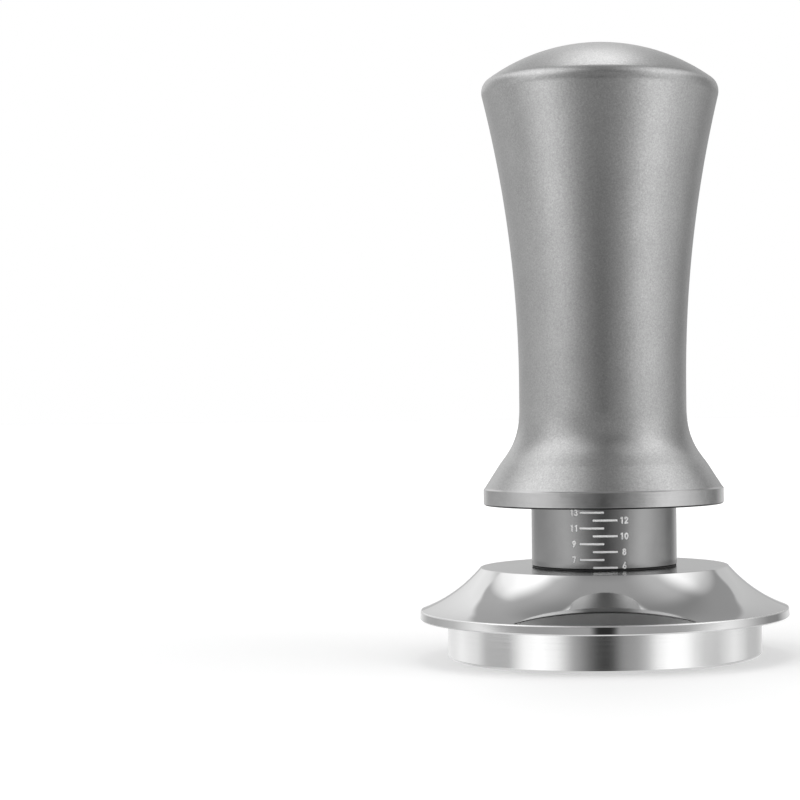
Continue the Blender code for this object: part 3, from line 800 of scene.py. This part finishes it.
GASKET = [corner.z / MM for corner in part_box("sleeve_gasket")]
gasket = lathe(
    "sleeve_gasket_fine",
    eased(
        [
            (11.3, GASKET[1], 0.03), (11.3, GASKET[1] - 0.13, 0.02), (11.8, GASKET[1] - 0.13, 0.03), (11.8, GASKET[0], 0.05),
            (10.15, GASKET[0], 0.04), (10.15, GASKET[1], 0.04),
        ],
        closed=True,
    ),
    [RUBBER_GREY, RUBBER], closed=True, segments=192, slot_of=lambda r, z: 1 if z > GASKET[1] - 0.14 and r < 11.78 else 0,
)
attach(gasket, "brim")
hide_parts("sleeve_gasket")


# ---------------------------------------------------------------- tamping base
BASE_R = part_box("tamper_base")[1].x / MM
base = lathe(
    "tamper_base_fine",
    eased(
        [
            (0.0, 3.0), (3.3, 3.0, 0.1), (3.3, 8.3, 0.2), (8.7, 8.3, 0.1), (9.0, 8.0, 0.1), (9.0, 7.0, 0.4),
            (BASE_R - 0.5, 7.0, 0.15), (BASE_R, 6.5, 0.15), (BASE_R, 0.35, 0.12), (BASE_R - 0.35, 0.0, 0.12), (0.0, 0.0),
        ],
        closed=False, step_deg=8.0,
    ),
    [TURNED], segments=400,
)
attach(base, "base")
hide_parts("tamper_base")


# ---------------------------------------------------------------- springs
def coil_path(wire, coil, span, turns, per_turn):
    low, high = span[0] + wire, span[1] - wire
    dead = 2 * wire * 1.14
    active = turns - 2
    path = []
    count = int(turns * per_turn)
    for i in range(count + 1):
        t = turns * i / count
        if t <= 1:
            z = low + dead * t
        elif t >= turns - 1:
            z = high - dead * (turns - t)
        else:
            z = low + dead + (high - low - 2 * dead) * (t - 1) / active
        path.append((coil * math.cos(math.tau * t), coil * math.sin(math.tau * t), z))
    return path


main_spring = tube("main_spring_fine", coil_path(1.1, 8.2, (55.9, 84.6), 6.0, 48), 1.1, WIRE, 20)
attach(main_spring, "base")
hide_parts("main_spring")
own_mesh(main_spring)

return_spring = tube("return_spring_fine", coil_path(0.45, 8.0, (22.3, 40.0), 6.5, 48), 0.45, WIRE, 14)
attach(return_spring, "base")
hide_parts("return_spring")
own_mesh(return_spring)


# ---------------------------------------------------------------- the works inside
def inside(node, body, slot, corners, material, closed=True, trim=None, edge=0.08):
    """A turned piece with its edges lightly broken. trim(x, y, z), in mm, moves points onto flats."""
    rounded = [(r, z, edge if r > 0 else 0.0) for r, z in corners]
    piece = lathe(
        node + "_fine", eased(rounded, closed=closed, step_deg=30.0), [material], closed=closed, segments=96, own_normals=False
    )
    if trim:
        for vertex in piece.data.vertices:
            vertex.co = [value * MM for value in trim(*(value / MM for value in vertex.co))]
    piece.data.set_sharp_from_angle(angle=math.radians(35))
    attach(piece, body)
    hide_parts(node)


def pressed(node, body, slot, inner, outer, low, high, material):
    inside(node, body, slot, [(outer, high), (outer, low), (inner, low), (inner, high)], material)


def shaft_flats(x, y, z):
    return (x, max(-3.75, min(3.75, y)), z) if 9.1 < z < 54.2 else (x, y, z)


def bore_flats(x, y, z):
    return (x, max(-3.95, min(3.95, y)), z) if math.hypot(x, y) < 4.9 else (x, y, z)


def key_socket(x, y, z):
    radius = math.hypot(x, y)
    if z < 58.2 or radius < 0.01 or radius > 1.76:
        return (x, y, z)
    turned = math.atan2(y, x) % math.radians(60) - math.radians(30)
    share = min(1.0, 1.75 * math.cos(math.radians(30)) / math.cos(turned) / radius)
    return (x * share, y * share, z)


inside("centre_shaft", "base", "ground_steel", [
    (0.0, 45.4), (2.1, 45.4), (2.1, 56.7), (3.0, 56.7), (3.0, 53.2), (4.2, 53.2), (4.5, 52.9), (4.5, 42.1), (3.9, 42.1),
    (3.9, 41.1), (4.5, 41.1), (4.5, 9.6), (3.0, 9.6), (3.0, 3.7), (2.6, 3.3), (0.0, 3.3),
], GROUND, closed=False, trim=shaft_flats)
pressed("shaft_lock_washer", "base", "zinc_steel", 3.3, 5.6, 8.55, 9.35, ZINC)
pressed("brim_bumper_ring", "base", "black_rubber", 6.0, 8.7, 8.5, 9.65, RUBBER)
pressed("return_spring_washer", "base", "zinc_steel", 4.75, 9.2, 40.2, 40.9, ZINC)
inside("spring_collar", "base", "zinc_steel", [
    (6.6, 57.0), (6.8, 56.8), (6.8, 55.7), (9.7, 55.7), (9.9, 55.5), (9.9, 53.7), (9.7, 53.5), (3.3, 53.5), (3.3, 57.0),
], ZINC)
inside("collar_screw", "base", "black_steel", [
    (0.0, 58.3), (1.75, 58.3), (1.75, 59.87), (2.6, 59.8), (4.0, 59.1), (4.8, 57.9), (4.8, 57.2), (1.8, 57.2), (1.8, 46.4),
    (1.4, 46.0), (0.0, 46.0),
], OXIDE, closed=False, trim=key_socket, edge=0.05)
inside("brim_bush", "brim", "white_acetal", [
    (9.2, 21.9), (9.4, 21.7), (9.4, 20.7), (6.3, 20.7), (6.3, 10.2), (4.7, 10.2), (4.7, 21.9),
], ACETAL, trim=bore_flats)
pressed("sleeve_guide_ring", "handle", "black_acetal", 12.05, 13.2, 26.5, 30.7, ACETAL_BLACK)
inside("handle_bush", "handle", "white_acetal", [
    (8.0, 52.1), (8.2, 51.9), (8.2, 51.25), (6.4, 51.25), (6.4, 46.0), (4.7, 46.0), (4.7, 52.1),
], ACETAL, trim=bore_flats)
pressed("stop_washer", "handle", "black_rubber", 4.8, 8.0, 52.35, 53.25, RUBBER)
inside("upper_spring_seat", "handle", "zinc_steel", [
    (9.7, 86.0), (9.9, 85.8), (9.9, 84.85), (6.7, 84.85), (6.7, 83.0), (6.4, 82.7), (3.2, 82.7), (3.2, 86.0),
], ZINC)


# ---------------------------------------------------------------- studio
scene = bpy.context.scene
scene.view_settings.view_transform = "Standard"
scene.view_settings.look = "None"
scene.view_settings.exposure = 0.0
scene.view_settings.gamma = 1.0
scene.cycles.max_bounces = 16
scene.cycles.glossy_bounces = 12


def floor_material():
    """Matt white paper with a painted glow: emission that rises away from the object, like a lit sweep, and also
    lightens the contact shadow near it.
    """
    material = bpy.data.materials.new("studio_paper")
    material.use_nodes = True
    tree = material.node_tree
    shader = tree.nodes["Principled BSDF"]
    shader.inputs["Roughness"].default_value = 0.9
    shader.inputs["Specular IOR Level"].default_value = 0.1
    shader.inputs["Base Color"].default_value = (0.86, 0.86, 0.86, 1.0)
    shader.inputs["Emission Color"].default_value = (1.0, 1.0, 1.0, 1.0)
    geometry = tree.nodes.new("ShaderNodeNewGeometry")
    length = tree.nodes.new("ShaderNodeVectorMath")
    length.operation = "LENGTH"
    # painted glow: emission 0.22 near the object, rising to 0.42 from 5 to 55 cm out
    painted_glow = tree.nodes.new("ShaderNodeMapRange")
    painted_glow.interpolation_type = "SMOOTHSTEP"
    for index, value in ((1, 0.05), (2, 0.55), (3, 0.22), (4, 0.42)):
        painted_glow.inputs[index].default_value = value
    tree.links.new(geometry.outputs["Position"], length.inputs[0])
    tree.links.new(length.outputs["Value"], painted_glow.inputs[0])
    tree.links.new(painted_glow.outputs[0], shader.inputs["Emission Strength"])
    # seen from below the paper is clear, so the underside of the object shows
    clear = tree.nodes.new("ShaderNodeBsdfTransparent")
    sides = tree.nodes.new("ShaderNodeMixShader")
    tree.links.new(geometry.outputs["Backfacing"], sides.inputs[0])
    tree.links.new(shader.outputs[0], sides.inputs[1])
    tree.links.new(clear.outputs[0], sides.inputs[2])
    tree.links.new(sides.outputs[0], tree.nodes["Material Output"].inputs["Surface"])
    return material


mesh = bpy.data.meshes.new("studio_floor")
mesh.from_pydata([(-4, -4, 0), (4, -4, 0), (4, 4, 0), (-4, 4, 0)], [], [(0, 1, 2, 3)])
mesh.update()
floor = new_object("studio_floor", mesh, floor_material())
floor.location.z = -0.00002
# polished metal shows the studio round it, as if it stood on a small clear plate, and not the paper
floor.visible_glossy = False


def studio_world():
    """Soft studio surroundings, as brightness by direction: bright sweep behind, a softbox on each side of the camera,
    and the dark room behind the camera. The camera itself sees plain white."""
    world = bpy.data.worlds.new("studio")
    world.use_nodes = True
    tree = world.node_tree
    for node in list(tree.nodes):
        tree.nodes.remove(node)

    def add(kind, **settings):
        node = tree.nodes.new("ShaderNode" + kind)
        for key, value in settings.items():
            setattr(node, key, value)
        return node

    def connect(value, socket):
        if hasattr(value, "is_output"):
            tree.links.new(value, socket)
        else:
            socket.default_value = value

    def calc(operation, a, b=0.0, clamp=False):
        node = add("Math", operation=operation, use_clamp=clamp)
        connect(a, node.inputs[0])
        connect(b, node.inputs[1])
        return node.outputs[0]

    def ring(stops):
        """Brightness round the horizon, as straight steps through (azimuth, brightness) stops."""
        node = add("ValToRGB")
        node.color_ramp.interpolation = "LINEAR"
        elements = node.color_ramp.elements
        while len(elements) < len(stops):
            elements.new(0.5)
        for element, (angle, bright) in zip(elements, stops):
            element.position = (angle + 180.0) / 360.0
            element.color = (bright, bright, bright, 1.0)
        connect(turn, node.inputs["Fac"])
        return node.outputs["Color"]

    def rise(value, start, end):
        """0 below start and 1 above end."""
        node = add("MapRange", clamp=True, interpolation_type="SMOOTHSTEP")
        for index, number in ((1, start), (2, end), (3, 0.0), (4, 1.0)):
            node.inputs[index].default_value = number
        connect(value, node.inputs[0])
        return node.outputs[0]

    def between(low, high, start, end):
        """low under the start elevation and high over the end elevation."""
        mix = add("Mix", data_type="RGBA")
        connect(rise(elevation, start, end), mix.inputs[0])
        connect(low, mix.inputs[6])
        connect(high, mix.inputs[7])
        return mix.outputs[2]

    coords = add("TexCoord")
    split = add("SeparateXYZ")
    tree.links.new(coords.outputs["Generated"], split.inputs[0])
    x, y, z = split.outputs
    # azimuth from the camera's side, positive to the right, as a share of a full turn
    azimuth = calc("MULTIPLY", calc("ARCTAN2", x, calc("MULTIPLY", y, -1.0)), 1.0 / math.tau)
    turn = calc("ADD", azimuth, 0.5)
    elevation = calc("MULTIPLY", calc("ARCSINE", z), 180.0 / math.pi)

    # low band that the upright side of the base mirrors
    low = ring([
        (-180, 0.9), (-144, 1.1), (-128, 1.35), (-106, 1.15), (-95, 0.68), (-74, 0.58), (-66, 1.1), (-60, 1.5),
        (-47, 1.8), (-35, 1.5), (-23, 0.62), (-11.5, 0.24), (-5, 0.09), (0, 0.06), (5, 0.09), (9, 0.26), (13, 0.42),
        (23, 0.54), (30, 0.8), (38, 1.45), (47, 1.75), (60, 1.6), (68, 1.15), (76, 0.9), (89, 0.84), (100, 1.15),
        (108, 1.3), (120, 1.05), (128, 0.8), (144, 0.72), (180, 0.9),
    ])
    # below it, what the upper half of the handle leans towards
    under = ring([
        (-180, 0.9), (-165, 1.0), (-155, 0.9), (-143, 0.6), (-128, 0.52), (-106, 0.6), (-89, 0.85), (-74, 1.4),
        (-60, 1.95), (-47, 1.45), (-35, 0.8), (-23, 0.54), (-11.5, 0.46), (0, 0.45), (11.5, 0.48), (23, 0.58),
        (35, 0.8), (47, 1.45), (60, 2.0), (74, 1.65), (89, 1.15), (106, 0.62), (120, 0.36), (134, 0.34), (145, 0.75),
        (157, 0.95), (170, 0.85), (180, 0.9),
    ])
    # the room at the height of the object: a dark side behind the camera and a soft panel on each flank
    around = ring([
        (-180, 0.85), (-165, 0.9), (-155, 0.82), (-143, 0.6), (-128, 0.6), (-106, 0.76), (-89, 1.18), (-74, 1.6),
        (-62, 1.45), (-47, 0.95), (-35, 0.48), (-23, 0.32), (-11.5, 0.21), (0, 0.16), (11.5, 0.21), (23, 0.34),
        (35, 0.55), (47, 1.05), (60, 1.6), (74, 1.6), (89, 1.15), (106, 0.66), (120, 0.38), (134, 0.34), (145, 0.7),
        (157, 0.9), (170, 0.85), (180, 0.85),
    ])
    # the lit sweep behind the object
    sweep = ring([
        (-180, 0.6), (-170, 0.78), (-162, 1.0), (-153, 1.2), (-143, 1.18), (-135, 0.85), (-120, 0.72), (-106, 0.8), (-89, 1.0),
        (-74, 1.5), (-62, 1.4), (-47, 0.92), (-35, 0.55), (-23, 0.48), (-11.5, 0.44), (0, 0.44), (11.5, 0.46),
        (23, 0.52), (35, 0.64), (47, 1.05), (60, 1.5), (74, 1.5), (89, 1.1), (106, 0.66), (124, 0.38), (137, 0.42),
        (143, 0.8), (156, 0.78), (168, 0.62), (180, 0.62),
    ])
    # a plain strip of wall at eye level, which the brim's rim mirrors
    strip = ring([
        (-180, 0.5), (-150, 0.75), (-120, 0.8), (-97, 1.1), (-87, 1.0), (-76, 0.6), (-66, 0.49), (-56, 0.52), (-20, 0.54),
        (0, 0.5), (20, 0.49), (40, 0.53), (48, 0.55), (57, 0.68), (66, 0.84), (76, 0.95), (86, 1.1), (97, 0.85),
        (120, 0.5), (140, 0.5), (156, 0.55), (180, 0.5),
    ])
    # above the sweep's top edge the back goes dim, and the flank panels carry on up
    raised = ring([
        (-180, 0.45), (-158, 0.54), (-142, 0.62), (-137, 1.1), (-131, 1.4), (-120, 1.6), (-104, 1.8), (-85, 2.15),
        (-62, 2.2), (-47, 1.7), (-30, 0.65), (-15, 0.25), (0, 0.16), (15, 0.16), (30, 0.2), (45, 0.75), (60, 1.8),
        (78, 2.2), (92, 1.75), (108, 1.4), (118, 1.3), (124, 1.1), (130, 0.85), (134, 0.7), (139, 0.43), (158, 0.42), (180, 0.45),
    ])

    def flat(bright):
        node = add("RGB")
        node.outputs[0].default_value = (bright, bright, bright, 1.0)
        return node.outputs[0]

    def blend(share, low, high, kind="MIX"):
        mix = add("Mix", data_type="RGBA", blend_type=kind)
        connect(share, mix.inputs[0])
        connect(low, mix.inputs[6])
        connect(high, mix.inputs[7])
        return mix.outputs[2]

    def less(value):
        return calc("SUBTRACT", 1.0, value)

    # overhead, by how far the direction leans sideways and to the back: a dim ceiling between two long panels,
    # whose inner edges come closer together towards the front
    sideways = calc("ABSOLUTE", x)
    leaning = calc("ADD", sideways, calc("MULTIPLY", calc("MAXIMUM", calc("MULTIPLY", y, -1.0), 0.0), 0.5))
    ceiling = calc("ADD", 0.26, calc("MULTIPLY", rise(y, -0.38, -0.08), 0.21))
    ceiling = calc("SUBTRACT", ceiling, calc("MULTIPLY", rise(y, 0.08, 0.45), 0.13))
    slope = calc("MULTIPLY", calc("MULTIPLY", rise(sideways, 0.16, 0.42), rise(y, -0.38, -0.08)), 0.26)
    is_right = rise(x, -0.05, 0.05)
    slope = calc("MULTIPLY", slope, less(calc("MULTIPLY", rise(y, 0.28, 0.5), is_right)))
    ceiling = calc("ADD", ceiling, slope)
    left = calc("MULTIPLY", rise(leaning, 0.38, 0.54), less(rise(y, 0.5, 0.75)))
    right = calc("MULTIPLY", rise(leaning, 0.42, 0.58), less(rise(y, 0.36, 0.62)))
    left = calc("MULTIPLY", calc("MULTIPLY", left, less(is_right)), 1.1)
    right = calc("MULTIPLY", calc("MULTIPLY", right, is_right), 0.95)
    ceiling = calc("ADD", ceiling, calc("ADD", left, right))
    tone = add("CombineColor")
    for socket in tone.inputs:
        connect(ceiling, socket)
    overhead = tone.outputs[0]

    studio = between(flat(1.0), under, -54.0, -28.0)
    studio = between(studio, low, -11.5, -9.0)
    studio = between(studio, around, -5.6, -4.2)
    studio = between(studio, strip, -1.0, 0.8)
    studio = between(studio, sweep, 4.6, 7.0)
    # the sweep's top edge, lower on the right and higher at one place on the left
    top = calc("SUBTRACT", elevation, calc("MULTIPLY", less(rise(calc("ABSOLUTE", calc("SUBTRACT", azimuth, 140.0 / 360.0)), 0.02, 0.04)), -4.0))
    top = calc("SUBTRACT", top, calc("MULTIPLY", less(rise(calc("ABSOLUTE", calc("ADD", azimuth, 154.0 / 360.0)), 0.012, 0.03)), 2.5))
    studio = blend(rise(top, 30.2, 33.2), studio, raised)
    studio = between(studio, overhead, 42.0, 54.0)
    # a long soft light high at the back, hidden from the brim by the handle, which rims the dome
    glow = calc("MULTIPLY", rise(elevation, 8.0, 14.0), 0.16)
    glow = calc("ADD", glow, calc("MULTIPLY", rise(elevation, 28.0, 38.0), 0.2))
    glow = calc("ADD", glow, calc("MULTIPLY", rise(elevation, 42.0, 60.0), 2.7))
    behind = calc("MULTIPLY", less(rise(sideways, 0.10, 0.18)), less(rise(elevation, 66.0, 76.0)))
    behind = calc("MULTIPLY", calc("MULTIPLY", behind, rise(y, 0.0, 0.2)), glow)
    halo = add("CombineColor")
    for socket in halo.inputs:
        connect(behind, socket)
    studio = blend(1.0, studio, halo.outputs[0], "ADD")
    # the dark lens of the camera
    off_lens = calc("ADD", calc("POWER", calc("DIVIDE", azimuth, 8.0 / 360.0), 2.0), calc("POWER", calc("DIVIDE", calc("SUBTRACT", elevation, 3.2), 4.0), 2.0))
    studio = blend(less(rise(off_lens, 0.3, 1.6)), studio, flat(0.04))

    light_path = add("LightPath")
    pick = add("Mix", data_type="RGBA")
    connect(light_path.outputs["Is Camera Ray"], pick.inputs[0])
    connect(studio, pick.inputs[6])
    pick.inputs[7].default_value = (1.0, 1.0, 1.0, 1.0)
    background = add("Background")
    connect(pick.outputs[2], background.inputs["Color"])
    output = add("OutputWorld")
    tree.links.new(background.outputs[0], output.inputs[0])
    world.cycles.sampling_method = "MANUAL"
    world.cycles.sample_map_resolution = 1024
    return world


scene.world = studio_world()


# ---------------------------------------------------------------- camera
CAMERA_DISTANCE = 0.353
CAMERA_HEIGHT = 0.04165
camera_data = bpy.data.cameras.new("camera")
camera_data.sensor_width = 36.0
camera_data.lens = 96.8
camera_data.shift_x = -0.2535
camera_data.shift_y = 0.0
camera_data.clip_start = 0.01
camera_data.clip_end = 30.0
camera = bpy.data.objects.new("camera", camera_data)
scene.collection.objects.link(camera)
camera.rotation_mode = "XYZ"
camera.location = (0.0, -CAMERA_DISTANCE, CAMERA_HEIGHT)
camera.rotation_euler = (math.radians(90.0), math.radians(0.56), 0.0)
scene.camera = camera
